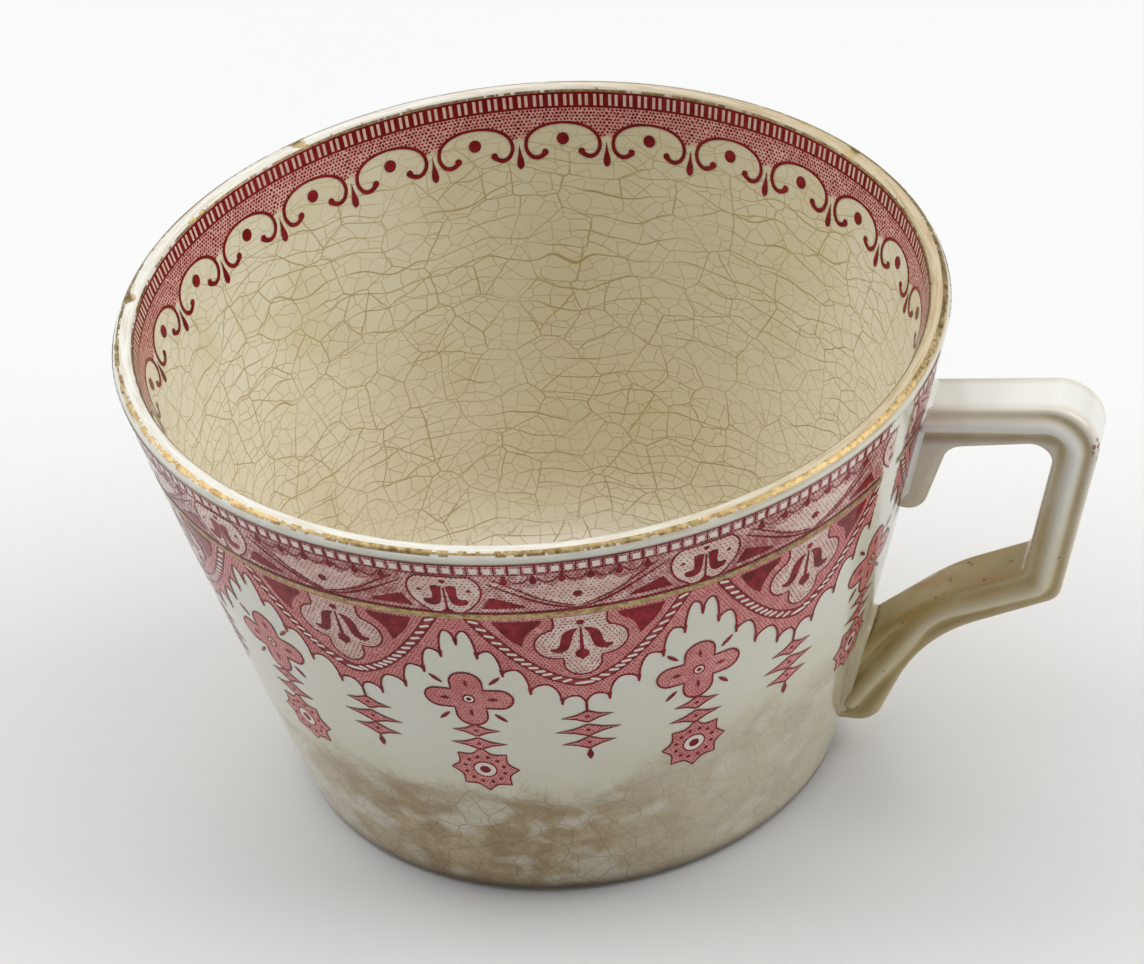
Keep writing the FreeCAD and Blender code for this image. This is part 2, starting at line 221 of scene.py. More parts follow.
def handle_outline():
    """Side view of the handle as a closed loop of points (reach, level)."""
    seat_top, seat_low = 50.6, 16.4
    corners = [
        (sunk(seat_top), seat_top, 0),
        (66.4, 52.25, 5.2),
        (59.5, 25.2, 2.4),
        (43.5, 18.5, 19.0),
        (37.1, 5.6, 3.2),
        (sunk(5.9), 5.9, 0)]
    outside = rounded(corners, 0.45)
    up_wall = [Vector((sunk(z), z)) for z in frange(6.3, seat_low - 0.4, 0.45)]
    eye = rounded([
        (sunk(seat_low), seat_low, 0),
        (46.3, 24.9, 25.0),
        (55.5, 28.7, 1.3),
        (60.1, 47.05, 2.3),
        (47.7, 45.6, 2.6),
        (44.2, 36.5, 2.4),
        (sunk(37.0), 37.0, 0)], 0.45)
    top_wall = [Vector((sunk(z), z)) for z in frange(37.5, seat_top - 0.5, 0.45)]
    return outside + up_wall + eye + top_wall


def bead_line():
    """Middle of the bead along the handle's side."""
    return rounded([
        (40.0, 48.6, 0), (63.0, 49.75, 3.2), (57.5, 26.9, 1.8), (44.6, 22.0, 10.0), (34.6, 8.6, 0)], 0.4)


def nearest(point, line, closed):
    """Distance from a point to a line of points."""
    best = 1e9
    count = len(line)
    for i in range(count if closed else count - 1):
        a, b = line[i], line[(i + 1) % count]
        run = b - a
        along = max(0.0, min(1.0, (point - a).dot(run) / max(run.length_squared, 1e-12)))
        best = min(best, (point - a - run * along).length_squared)
    return math.sqrt(best)


def side_relief(to_edge, to_bead):
    """Half-thickness of the handle, from the distances to its outline and to the bead's middle."""
    edge = 1.15
    half = HANDLE_HALF
    if to_edge < edge:
        half += math.sqrt(max(0.0, edge ** 2 - (edge - to_edge) ** 2)) - edge
    fade = min(1.0, to_edge / edge)
    if to_bead < BEAD_HALF:
        half += 0.6 * fade * (1 + math.cos(math.pi * to_bead / BEAD_HALF)) / 2
    hollow = math.exp(-((to_bead - 1.55) / 0.5) ** 2)
    return half - 0.6 * fade * hollow


def make_handle_mesh():
    """Fill the outline with points and raise both sides by the relief."""
    outline = handle_outline()
    bead = bead_line()
    count = len(outline)
    points = list(outline)
    for inset in (0.06, 0.2, 0.42, 0.72):
        for i in range(count):
            along = (outline[(i + 1) % count] - outline[i - 1]).normalized()
            inner = outline[i] + Vector((along.y, -along.x)) * inset
            if nearest(inner, outline, True) > 0.93 * inset:
                points.append(inner)
    low = Vector((min(p.x for p in outline), min(p.y for p in outline)))
    high = Vector((max(p.x for p in outline), max(p.y for p in outline)))
    grid = 0.3
    for row in range(int((high.y - low.y) / grid)):
        for column in range(int((high.x - low.x) / grid)):
            spot = low + Vector((column + 0.5 * (row % 2), row)) * grid
            if inside(spot, outline) and nearest(spot, outline, True) > 0.9:
                points.append(spot)
    loop = [(i, (i + 1) % count) for i in range(count)]
    flat, _, faces = geometry.delaunay_2d_cdt(points, loop, [], 1, 1e-5)[:3]
    flat = [Vector(p) for p in flat]
    edge_gap = [nearest(p, outline, True) for p in flat]
    bead_gap = [nearest(p, bead, False) for p in flat]
    relief = [side_relief(e, b) for e, b in zip(edge_gap, bead_gap)]
    for i in range(count):
        relief[i] = side_relief(0.0, bead_gap[i])
    near = [Vector((p.x, -r, p.y)) * MM for p, r in zip(flat, relief)]
    far = [Vector((p.x, r, p.y)) * MM for p, r in zip(flat, relief)]
    size = len(flat)
    body = [tuple(f) for f in faces]
    body += [tuple(v + size for v in reversed(f)) for f in faces]
    strips = 6
    across = []
    for s in range(1, strips):
        for i in range(count):
            across.append(near[i].lerp(far[i], s / strips))
    rims = [list(range(count))]
    rims += [[2 * size + s * count + i for i in range(count)] for s in range(strips - 1)]
    rims.append([size + i for i in range(count)])
    for s in range(strips):
        for i in range(count):
            j = (i + 1) % count
            body.append((rims[s][j], rims[s][i], rims[s + 1][i], rims[s + 1][j]))
    mesh = smooth_mesh("handle_glazed", near + far + across, body)
    # The stain attribute holds tea stain and painted shade of the side faces and the hollows.
    stain = mesh.attributes.new("stain", "FLOAT", "POINT")
    values = [handle_stain_and_shade(p, e, b, inside(p, bead)) for p, e, b in zip(flat, edge_gap, bead_gap)]
    eye = [inside(p, bead) and p.y < 36 for p in outline]
    values += values + [0.7 if eye[k % count] else 0.0 for k in range(len(across))]
    stain.data.foreach_set("value", values)
    tidy_normals(mesh)
    return mesh


def handle_stain_and_shade(point, to_edge, to_bead, in_eye):
    """Tea stain and painted shade beside the bead and on the arm's upper half, most of it low down; the side
    faces take it and the edges stay clean, so the sides read darker than the top.
    """
    low = max(0.0, min(1.0, (42.0 - point.y) / 20.0))
    hollow = math.exp(-((to_bead - 1.5) / 0.65) ** 2) * min(1.0, to_edge / 0.8)
    film = (0.45 + 0.55 * low) * (0.95 if in_eye else 0.6) * min(1.0, to_bead / 1.2)
    return max((0.85 + 0.15 * low) * hollow, film)


def drop_loose(mesh):
    """Delete the points that no face uses."""
    bm = bmesh.new()
    bm.from_mesh(mesh)
    bmesh.ops.delete(bm, geom=[v for v in bm.verts if not v.link_faces], context="VERTS")
    bm.to_mesh(mesh)
    bm.free()


def tidy_normals(mesh):
    """Turn every face of a closed mesh outward."""
    bm = bmesh.new()
    bm.from_mesh(mesh)
    bmesh.ops.recalc_face_normals(bm, faces=bm.faces)
    bm.to_mesh(mesh)
    bm.free()


def inside(point, outline):
    """Whether a point is inside a closed outline."""
    odd = False
    previous = outline[-1]
    for corner in outline:
        if (corner.y > point.y) != (previous.y > point.y):
            share = (point.y - corner.y) / (previous.y - corner.y)
            if point.x < corner.x + share * (previous.x - corner.x):
                odd = not odd
        previous = corner
    return odd


def make_fillet_mesh(name, low, high, half, spread):
    """Concave run of glazed slip where one end of the handle meets the wall."""
    corner = 2.2
    sides = [(-half, low), (half, low), (half, high), (-half, high)]
    loop = []
    for i, (y, z) in enumerate(sides):
        centre = Vector((y - math.copysign(corner, y), z + (corner if z == low else -corner)))
        for k in range(9):
            angle = math.pi * (1 + i / 2) + math.pi / 2 * k / 8
            loop.append((centre, Vector((math.cos(angle), math.sin(angle)))))
    loop = spaced_loop(loop, corner)
    steps = 6
    points = []
    for k in range(steps + 1):
        angle = math.pi / 2 * k / steps
        out = spread * (1 - math.sin(angle))
        lift = spread * (1 - math.cos(angle)) - (0.05 if k == 0 else 0.0)
        for spot, outward in loop:
            flat = spot + outward * (out - 0.05)
            azimuth = math.asin(flat.x / wall_radius(flat.y))
            points.append(place(azimuth, wall_radius(flat.y) + lift, flat.y))
    for spot, outward in loop:
        flat = spot - outward * 0.8
        azimuth = math.asin(flat.x / wall_radius(flat.y))
        points.append(place(azimuth, wall_radius(flat.y) - 0.5, flat.y))
    count = len(loop)
    rows = steps + 2
    faces = []
    for row in range(rows):
        below = (row + 1) % rows
        for i in range(count):
            j = (i + 1) % count
            faces.append((row * count + i, row * count + j, below * count + j, below * count + i))
    mesh = smooth_mesh(name, points, faces)
    tidy_normals(mesh)
    return mesh


def spaced_loop(loop, corner):
    """Turn corner centres into points, with more points along the straight sides."""
    turned = [(c + d * corner, d) for c, d in loop]
    full = []
    for i, (spot, outward) in enumerate(turned):
        full.append((spot, outward))
        after, _ = turned[(i + 1) % len(turned)]
        gap = (after - spot).length
        for k in range(1, int(gap / 0.8)):
            full.append((spot.lerp(after, k / int(gap / 0.8)), outward))
    return full


# ------------------------------------------------------------------ drawing on the wall

# A drawing is a list of flat faces, each a list of points (along the wall, level). Distances
# along the wall are measured at DRAWING_RADIUS, and a repeat is drawn about its own middle.
DRAWING_RADIUS = 42.3
REPEATS = 10
REPEAT = TURN * DRAWING_RADIUS / REPEATS
HALF = REPEAT / 2

# Squares of the frieze's upper edge in one repeat.
FRIEZE_SQUARES = 20

# Pendants: levels of the flower and the rosette, and each diamond's (along, level, half width).
FLOWER_LEVEL = 35.75
ROSETTE_LEVEL = 23.1
DIAMONDS = ((-HALF, 30.1, 2.7), (-HALF, 27.75, 3.2), (0.0, 32.0, 2.9), (0.0, 29.6, 3.7), (0.0, 27.4, 3.0))
DIAMOND_RISE = 0.95

# The half repeat beside the handle was laid this far out of step.
SEAM_SHIFT = math.radians(1.8)


def filled(outline):
    """Triangles that fill one outline."""
    corners = [Vector((p[0], p[1], 0)) for p in outline]
    triangles = geometry.tessellate_polygon([corners])
    return [[outline[i] for i in triangle] for triangle in triangles]


def disc(x, y, radius, sides=14, tall=1.0):
    steps = [TURN * k / sides for k in range(sides)]
    return [[(x + radius * math.cos(a), y + radius * tall * math.sin(a)) for a in steps]]


def box(x0, y0, x1, y1):
    return [[(x0, y0), (x1, y0), (x1, y1), (x0, y1)]]


def stroke(points, width, taper=None, closed=False):
    """A pen line along points. Taper gives the width's factor from 0 to 1 along the line."""
    line = [Vector(p) for p in points]
    count = len(line)
    left, right = [], []
    for i, p in enumerate(line):
        before = line[i - 1] if closed or i > 0 else p
        after = line[(i + 1) % count] if closed or i < count - 1 else p
        along = (after - before).normalized()
        wide = width / 2 * (taper(i / (count - 1)) if taper else 1.0)
        across = Vector((-along.y, along.x)) * wide
        left.append(tuple(p + across))
        right.append(tuple(p - across))
    faces = []
    for i in range(count if closed else count - 1):
        j = (i + 1) % count
        faces.append([left[i], right[i], right[j], left[j]])
    return faces


def mirrored(faces):
    """The same faces and their mirror image about the middle of the repeat."""
    return faces + [[(-x, y) for x, y in face] for face in faces]


def flipped(line):
    """The mirror image of a line, run the other way so that it carries the line on."""
    return [(-x, y) for x, y in reversed(line)]


def lozenge(x, y, wide, tall):
    """One four-cornered dot."""
    return [(x - wide, y), (x, y - tall), (x + wide, y), (x, y + tall)]


def moved(faces, x, y=0.0, wide=1.0):
    """The same faces, moved, and widened about the drawing's middle first."""
    return [[(x + wide * px, y + py) for px, py in face] for face in faces]


def curve(points, steps=6):
    """A smooth line through points."""
    ends = [points[0]] + list(points) + [points[-1]]
    line = []
    for i in range(1, len(ends) - 2):
        a, b, c, d = (Vector(p) for p in ends[i - 1:i + 3])
        for k in range(steps):
            s = k / steps
            spot = 0.5 * (2 * b + (c - a) * s + (2 * a - 5 * b + 4 * c - d) * s ** 2
                          + (3 * b - a - 3 * c + d) * s ** 3)
            line.append(tuple(spot))
    return line + [tuple(points[-1])]


def arc(x, y, radius, start, stop, steps=10, tall=1.0):
    """Points of an arc, angles in degrees."""
    angles = [math.radians(start + (stop - start) * k / steps) for k in range(steps + 1)]
    return [(x + radius * math.cos(a), y + radius * tall * math.sin(a)) for a in angles]


def cut_fine(faces):
    """Points and triangles of a flat drawing, cut fine enough to follow the curve of a wall."""
    bm = bmesh.new()
    for face in faces:
        corners = [bm.verts.new((x, y, 0)) for x, y in face]
        if len(set(c.co.to_tuple(5) for c in corners)) > 2:
            bm.faces.new(corners)
    cuts = [((x, 0, 0), (1, 0, 0)) for x in frange(-18, 18, 1.2)]
    cuts += [((0, y, 0), (0, 1, 0)) for y in frange(14, 62, 3.0)]
    for spot, facing in cuts:
        everything = bm.verts[:] + bm.edges[:] + bm.faces[:]
        bmesh.ops.bisect_plane(bm, geom=everything, dist=1e-6, plane_co=spot, plane_no=facing)
    bmesh.ops.triangulate(bm, faces=bm.faces[:])
    bm.verts.index_update()
    flat = [v.co.copy() for v in bm.verts]
    small = [[v.index for v in f.verts] for f in bm.faces if f.calc_area() > 1e-7]
    bm.free()
    return flat, small


def press(name, faces, lift, material, radius_at, copies,
          skip=None, sense=1, reference=DRAWING_RADIUS):
    """Lay a drawing on a wall, once for each copy, leaving out the faces that skip picks."""
    flat, small = cut_fine(faces)
    points, result = [], []
    for copy in range(copies):
        middle = TURN * copy / copies
        base = len(points)
        for p in flat:
            azimuth = middle + p.x / reference
            if skip and copy == 0 and p.x < 0:
                azimuth += SEAM_SHIFT
            points.append(place(azimuth, radius_at(p.y) + lift, p.y))
        for face in small:
            centre = sum((flat[i].x for i in face), 0.0) / 3
            level = sum((flat[i].y for i in face), 0.0) / 3
            azimuth = math.degrees(middle + centre / reference)
            if skip and skip(azimuth, level):
                continue
            result.append([base + i for i in (face if sense > 0 else reversed(face))])
    mesh = smooth_mesh(name, points, result)
    drop_loose(mesh)
    face_along_wall(mesh, sense)
    return new_piece(name, mesh, material)


def face_along_wall(mesh, sense):
    """Turn every face to look away from the wall."""
    bm = bmesh.new()
    bm.from_mesh(mesh)
    wrong = []
    for face in bm.faces:
        centre = face.calc_center_median()
        outward = Vector((centre.x, centre.y, 0))
        if face.normal.dot(outward) * sense < 0:
            wrong.append(face)
    bmesh.ops.reverse_faces(bm, faces=wrong)
    bm.to_mesh(mesh)
    bm.free()
    mesh.shade_smooth()


# ------------------------------------------------------------------ the outer print's drawing

# Points of the lower border: cusps (along, level), and the top of the lobe before the next cusp.
CUSPS = ((-HALF, 45.4, 47.6), (-11.3, 43.1, 44.2), (-8.9, 40.1, 41.0), (-6.1, 36.9, 38.25),
         (-2.7, 34.8, 35.9), (0.0, 34.1, None))
GILT_LEVEL = 50.1


def lobe(start, end, top):
    """Half an oval that rises from one cusp and falls to the next."""
    middle = (start[0] + end[0]) / 2
    half = (end[0] - start[0]) / 2
    points = []
    for k in range(13):
        angle = math.pi * (1 - k / 12)
        foot = start[1] if k < 6 else end[1]
        points.append((middle + half * math.cos(angle), foot + (top - foot) * math.sin(angle)))
    return points


def lower_border():
    """The cusped edge across one repeat, left to right."""
    left = []
    for (x0, y0, top), (x1, y1, _) in zip(CUSPS, CUSPS[1:]):
        left += lobe((x0, y0), (x1, y1), top)[:-1]
    left.append((0.0, CUSPS[-1][1]))
    return left + flipped(left[:-1])


def rope_level(x):
    return 38.0 + 0.2 * abs(x) + 0.0745 * x ** 2


def rope_line(offset=0.0, reach=11.5):
    """The rope's middle, moved out of the lunette by an offset."""
    line = []
    for x in frange(-reach, reach, 0.35):
        slope = math.copysign(0.2, x) + 0.149 * x if abs(x) > 0.2 else 0.0
        down = Vector((slope, -1)).normalized()
        line.append((x + down.x * offset, rope_level(x) + down.y * offset))
    return line


def cartouche():
    """Closed outline of the lobed panel in the lunette."""
    right = [(2.85, 49.45), (2.75, 48.2)] + arc(2.55, 45.0, 2.45, 78, -100, 14)
    right += arc(0.0, 41.55, 2.05, 12, -90, 8)
    return right + flipped(right[:-1])


def lunette_leaf():
    """Comma-shaped leaf on the right of the lunette's stem."""
    return curve([(0.3, 47.35), (0.95, 47.35), (1.75, 46.8), (2.15, 45.9), (2.3, 45.0), (2.6, 44.35),
                  (3.35, 44.15), (3.0, 43.65), (2.2, 43.55), (1.5, 44.0), (1.15, 44.9),
                  (0.95, 45.9), (0.7, 46.7)], 4)


def medallion_leaf():
    return curve([(0.2, 55.0), (0.8, 55.2), (1.3, 54.9), (1.25, 53.6), (1.45, 53.0), (2.25, 52.85),
                  (2.1, 52.15), (1.2, 51.9), (0.55, 52.4), (0.35, 53.6)], 4)


def medallion_outline():
    right = curve([(1.6, 50.8), (2.6, 51.7), (3.4, 52.9), (3.75, 54.3), (3.5, 55.7), (2.7, 56.7)], 4)
    return right + flipped(right)


def quatrefoil(grow=0.0):
    """Outline of the four-lobed flower about its own middle."""
    wide, tall, arm, post = 5.0 + grow, 4.6 + grow, 1.6 + grow, 1.8 + grow
    right = arc(wide - arm, 0, arm, -90, 90, 10)
    top = arc(0, tall - post, post, 0, 180, 10)
    left = arc(arm - wide, 0, arm, 90, 270, 10)
    bottom = arc(0, post - tall, post, 180, 360, 10)
    return right + [(post, arm)] + top + [(-post, arm)] + left + [(-post, -arm)] + bottom + [(post, -arm)]


def diamond(half, rise=DIAMOND_RISE):
    """Wide diamond with hollow sides."""
    side = [(half * 0.45, rise * 0.34), (0.16, rise)]
    upper = [(half, 0.0)] + side + flipped(side)
    return upper + [(-x, -y) for x, y in upper]


def rosette():
    """Eight-pointed star with hollow sides."""
    points = []
    for k in range(8):
        tip, next_tip = TURN * k / 8, TURN * (k + 1) / 8
        points.append((3.85 * math.cos(tip), 3.85 * math.sin(tip)))
        for share in (0.3, 0.5, 0.7):
            angle = tip + (next_tip - tip) * share
            deep = 2.95 if share == 0.5 else 3.1
            points.append((deep * math.cos(angle), deep * math.sin(angle)))
    return points


def taper_ends(share):
    """Pen pressure that starts and ends light."""
    return 0.35 + 0.65 * math.sin(math.pi * share)


def narrow(level):
    """How much a motif widens on the drawing so that it is true to size at its level."""
    return DRAWING_RADIUS / wall_radius(level)


def outer_ground():
    """Tinted area of the lunettes."""
    return filled([(HALF, 49.85), (-HALF, 49.85)] + lower_border())


def frieze_ground():
    return box(-HALF, 50.55, HALF, 58.45)


def pendant_ground():
    """Tinted areas of the pendants."""
    faces = on_pendant(filled(quatrefoil()), FLOWER_LEVEL) + on_pendant(filled(rosette()), ROSETTE_LEVEL)
    for x, level, half in DIAMONDS:
        faces += moved(filled(diamond(half)), x, level, narrow(level))
    return faces


def on_pendant(faces, level):
    """A motif in its place on the pendant between two lunettes."""
    return moved(faces, -HALF, level, narrow(level))


def outer_stipple():
    """Dots that shade the tinted areas, and the dark bed of the rope."""
    faces = stipple([(HALF, 58.4), (-HALF, 58.4)] + lower_border(), 0.44, 0.145, 0.95)
    faces += stroke(rope_line(0.0), 1.0)
    faces += on_pendant(stipple(quatrefoil(-0.1), 0.4, 0.12, 0.95), FLOWER_LEVEL)
    faces += on_pendant(stipple(rosette(), 0.4, 0.12, 0.95), ROSETTE_LEVEL)
    for x, level, half in DIAMONDS:
        dots = stipple(diamond(half - 0.1, DIAMOND_RISE - 0.1), 0.4, 0.12, 0.95)
        faces += moved(dots, x, level, narrow(level))
    return faces


def veil():
    """Lightly tinted fields of the frieze: the medallions and the fans between them."""
    fan = curve([(0, 51.35), (1.6, 51.9), (3.3, 52.9), (4.6, 53.8), (5.4, 55.0), (4.3, 54.7),
                 (3.4, 55.5), (2.4, 54.9), (1.4, 55.8), (0.4, 55.2), (0, 55.5)], 3)
    fields = [fan + flipped(fan[1:-1]),
              [(x - HALF, y) for x, y in medallion_outline()],
              cartouche()]
    return fields


def outer_reserve():
    """Areas left in the colour of the glaze."""
    faces = []
    for k in range(FRIEZE_SQUARES):
        x = REPEAT * (k + 0.5) / FRIEZE_SQUARES - HALF
        faces += box(x - 0.37, 57.3, x + 0.37, 58.15)
    faces += rope_beads()
    faces += on_pendant(disc(0, 0, 0.55, 18), FLOWER_LEVEL) + on_pendant(disc(0, 0, 1.22, 18), ROSETTE_LEVEL)
    return faces


def rope_beads():
    """Slanted beads of the rope between its two outlines."""
    faces = []
    spacing = 0.86
    travelled = 0.0
    line = rope_line(0.0, 11.5)
    for a, b in zip(line, line[1:]):
        travelled += math.dist(a, b)
        if travelled < spacing:
            continue
        travelled = 0.0
        middle = ((a[0] + b[0]) / 2, (a[1] + b[1]) / 2)
        if abs(middle[0]) < 1.2:
            continue
        angle = math.atan2(b[1] - a[1], b[0] - a[0]) - math.copysign(0.75, middle[0])
        turn = Matrix.Rotation(angle, 2)
        corners = [(0.62, 0.06), (0.4, 0.2), (-0.5, 0.17), (-0.62, -0.06), (-0.4, -0.2), (0.5, -0.17)]
        faces.append([tuple(Vector(middle) + turn @ Vector(c)) for c in corners])
    faces += moved(disc(0, 0, 1.15, 16, 0.2), 0, 38.02)
    return faces


def frieze_ink():
    """Dark lines of the band above the gilt line."""
    faces = stroke([(-HALF, 58.62), (HALF, 58.62)], 0.2)
    faces += stroke([(-HALF, 50.72), (HALF, 50.72)], 0.28)
    faces += stroke([(-HALF, 57.0), (HALF, 57.0)], 0.1)
    for k in range(FRIEZE_SQUARES):
        x = REPEAT * k / FRIEZE_SQUARES - HALF
        heavy = 0.24 if k % 2 else 0.12
        faces += box(x - heavy / 2, 57.1, x + heavy / 2, 58.5)
    arches = 5
    pitch = 2.85
    for k in range(arches + 1):
        x = (k - arches / 2) * pitch
        faces += filled(curve([(x, 57.0), (x + 0.2, 56.5), (x + 0.38, 55.9), (x, 55.4), (x - 0.38, 55.9),
                               (x - 0.2, 56.5), (x, 57.0)], 3)[:-1])
    for k in range(arches):
        x = (k + 0.5 - arches / 2) * pitch
        faces += stroke(arc(x, 56.8, 1.05, 195, 345, 10, 1.15), 0.14)
    faces += disc(0, 53.2, 0.48)
    bough = curve([(0, 50.9), (2.2, 51.5), (4.4, 52.6), (6.4, 53.9), (8.9, 55.6)], 5)
    twig = curve([(0.4, 51.3), (2.4, 52.1), (4.2, 53.1), (5.8, 54.4), (8.2, 56.2)], 5)
    faces += mirrored(stroke(bough, 0.3, taper_ends)) + mirrored(stroke(twig, 0.16))
    faces += mirrored(filled([(9.75, 51.5), (8.75, 53.3), (7.4, 52.8), (5.3, 51.75), (5.4, 51.5)]))
    return faces + medallion_ink()


def medallion_ink():
    """Bell of two leaves above each pendant."""
    faces = mirrored(filled(medallion_leaf()))
    faces += stroke([(0, 54.9), (0, 53.5), (0, 52.2), (0, 51.2)], 0.26)
    faces += filled([(0.75, 50.85), (0.2, 51.35), (0, 52.0), (-0.2, 51.35), (-0.75, 50.85)])
    faces += stroke(medallion_outline(), 0.22)
    faces += disc(0, 55.9, 0.3) + mirrored(disc(2.5, 54.4, 0.22))
    return moved(faces, -HALF)


def lunette_ink():
    """Dark parts of one lunette and its rope and border."""
    corner = curve([(9.05, 49.2), (8.2, 47.3), (7.2, 45.9), (6.3, 44.9)], 4)
    corner += curve([(6.3, 44.9), (5.9, 46.4), (5.2, 47.6), (4.3, 48.4), (3.95, 49.2)], 4)[1:]
    faces = mirrored(filled(corner))
    faces += mirrored(filled(lunette_leaf()))
    faces += stroke([(0.0, 47.6), (0, 46.4), (0, 45.2), (0, 43.6)], 0.46, lambda s: 0.45 + 0.6 * s)
    faces += disc(0, 43.05, 0.78, 16) + filled([(-0.3, 42.5), (0.3, 42.5), (0, 41.9)]) + disc(0, 48.35, 0.42)
    faces += stroke(cartouche(), 0.22)
    faces += stroke(rope_line(0.52), 0.2) + stroke(rope_line(-0.52), 0.2)
    faces += stroke(lower_border(), 0.24)
    for x, level, _ in CUSPS[:-1]:
        high, low = level + 0.9, level - 0.3
        spike = filled([(x - 0.28, high), (x + 0.28, high), (x + 0.12, low), (x - 0.12, low)])
        faces += spike if x == -HALF else mirrored(spike)
    faces += cartouche_dots()
    return faces


def cartouche_dots():
    """Fine stipple that shades the panel towards its edge."""
    outline = [Vector(p) for p in cartouche()]
    faces = []
    for row in range(20):
        for column in range(24):
            spot = Vector((-5.4 + 0.47 * (column + 0.5 * (row % 2)), 39.6 + 0.48 * row))
            if inside(spot, outline) and 0.25 < nearest(spot, outline, True) < 1.15:
                faces += disc(spot.x, spot.y, 0.085, 5)
    return faces


def pendant_ink():
    """Dark lines of the pendants between and under the lunettes."""
    faces = on_pendant(flower_ink(), FLOWER_LEVEL)
    star = stroke(rosette(), 0.18, closed=True) + disc(0, 0, 0.62, 16)
    star += stroke(arc(0, 0, 1.3, 0, 360, 24)[:-1], 0.16, closed=True)
    for k in range(12):
        angle = TURN * (k + 0.5) / 12
        star += disc(2.25 * math.cos(angle), 2.25 * math.sin(angle), 0.25, 8)
    faces += on_pendant(star, ROSETTE_LEVEL)
    for x, level, half in DIAMONDS:
        lines = stroke(diamond(half), 0.2, closed=True) + disc(0, 0, 0.24, 8)
        faces += moved(lines, x, level, narrow(level))
    faces += stroke([(0, 34.4), (0, 33.6), (0, 32.8)], 0.34)
    drop = [(0, 26.5), (0.25, 25.8), (0.42, 25.2), (0, 24.4), (-0.42, 25.2), (-0.25, 25.8), (0, 26.5)]
    return faces + filled(curve(drop, 3)[:-1])


def flower_ink():
    """Outline, eye and dashes of the four-lobed flower."""
    faces = stroke(quatrefoil(), 0.24, closed=True)
    faces += stroke(arc(0, 0, 0.66, 0, 360, 20)[:-1], 0.18, closed=True) + disc(0, 0, 0.3, 10)
    seeds = ((2.7, 0, 0.7, 0.24), (-2.7, 0, 0.7, 0.24), (0, 2.7, 0.24, 0.7), (0, -2.4, 0.24, 0.7))
    faces += [lozenge(*seed) for seed in seeds]
    for k in range(4):
        angle = math.radians(45 + 90 * k)
        along = Vector((math.cos(angle), math.sin(angle)))
        faces += stroke([tuple(along * d) for d in (3.7, 4.3, 4.9, 5.5)], 0.5, taper_ends)
    return faces


def stipple(border, pitch, size, share):
    """Rows of small dots inside an outline. Share is how many of them are kept."""
    outline = [Vector(p) for p in border]
    chance = random.Random(7)
    x_range = (min(p.x for p in outline), max(p.x for p in outline))
    level_range = (min(p.y for p in outline), max(p.y for p in outline))
    faces = []
    rows = int((level_range[1] - level_range[0]) / (pitch * 0.87)) + 1
    columns = int((x_range[1] - x_range[0]) / pitch)
    for row in range(rows):
        level = level_range[0] + row * pitch * 0.87
        for column in range(columns + 1):
            x = x_range[0] + pitch * (column + 0.5 * (row % 2)) + chance.uniform(-0.05, 0.05)
            spot = Vector((x, level + chance.uniform(-0.05, 0.05)))
            if chance.random() > share or not inside(spot, outline):
                continue
            half = size * chance.uniform(0.8, 1.15)
            faces.append(lozenge(spot.x, spot.y, half, half))
    return faces


# ------------------------------------------------------------------ the inner print's drawing

INNER_REPEATS = 26
INNER_RADIUS = 43.5
INNER_REPEAT = TURN * INNER_RADIUS / INNER_REPEATS
INNER_HALF = INNER_REPEAT / 2
INNER_START = 0.55
INNER_TOP = 59.45
INNER_LINE = 57.55


def scroll_line():
    """Right half of a scroll, from its top to its curled end."""
    return curve([(0, 55.85), (1.6, 55.7), (3.1, 55.2), (4.15, 54.3), (4.45, 53.1), (4.0, 52.1),
                  (3.2, 51.75), (2.4, 52.05), (2.1, 52.45)], 5)


def inner_outline():
    """Outline of the tinted ground between the dark band and the scrolls."""
    right = [p for p in scroll_line() if p[1] > 53.2 and p[0] < 4.4]
    edge = flipped(right[1:]) + right
    top = [(INNER_HALF, INNER_LINE), (-INNER_HALF, INNER_LINE)]
    return top + [(-INNER_HALF, 54.3)] + edge + [(INNER_HALF, 54.3)]


def inner_band():
    return box(-INNER_HALF, INNER_LINE, INNER_HALF, INNER_TOP)


def inner_reserve():
    """Pairs of light bars in the dark band under the lip."""
    faces = []
    pairs = 6
    for k in range(pairs):
        x = INNER_REPEAT * (k + 0.5) / pairs - INNER_HALF
        for side in (-0.38, 0.38):
            faces += box(x + side - 0.18, 57.85, x + side + 0.18, 59.2)
    return faces


def inner_ink():
    """Scrolls, dots, drops and the line of the inner border."""
    faces = mirrored(stroke(scroll_line(), 0.54, lambda s: 0.55 + 0.55 * s))
    faces += mirrored(disc(2.2, 52.35, 0.42, 12))
    faces += disc(0, 53.9, 0.74, 16)
    drop = curve([(0, 53.6), (0.14, 52.6), (0.42, 51.4), (0.36, 50.8), (0, 50.5), (-0.36, 50.8),
                  (-0.42, 51.4), (-0.14, 52.6)], 4)
    faces += moved(filled(drop), -INNER_HALF)
    return faces


# ------------------------------------------------------------------ gilding

def make_gold_mesh(name, section, keep, step=0.16):
    """Faces of gold along a section of the bowl, left out where the gold has worn away."""
    sides = int(TURN * 45 / step)
    points = [place(TURN * k / sides, r, z) for r, z in section for k in range(sides)]
    faces = []
    for row in range(len(section) - 1):
        share = row / (len(section) - 2)
        for k in range(sides):
            a, b = row * sides + k, row * sides + (k + 1) % sides
            if keep(points[a] / MM, share):
                faces.append((a, b, b + sides, a + sides))
    mesh = smooth_mesh(name, points, faces)
    drop_loose(mesh)
    mesh.shade_smooth()
    return mesh


def lip_section():
    """The top of the lip, raised to carry the gold."""
    return [(p.x, p.y) for p in lip_line(0.03, 0.2) if p.y > HEIGHT - 1.2]


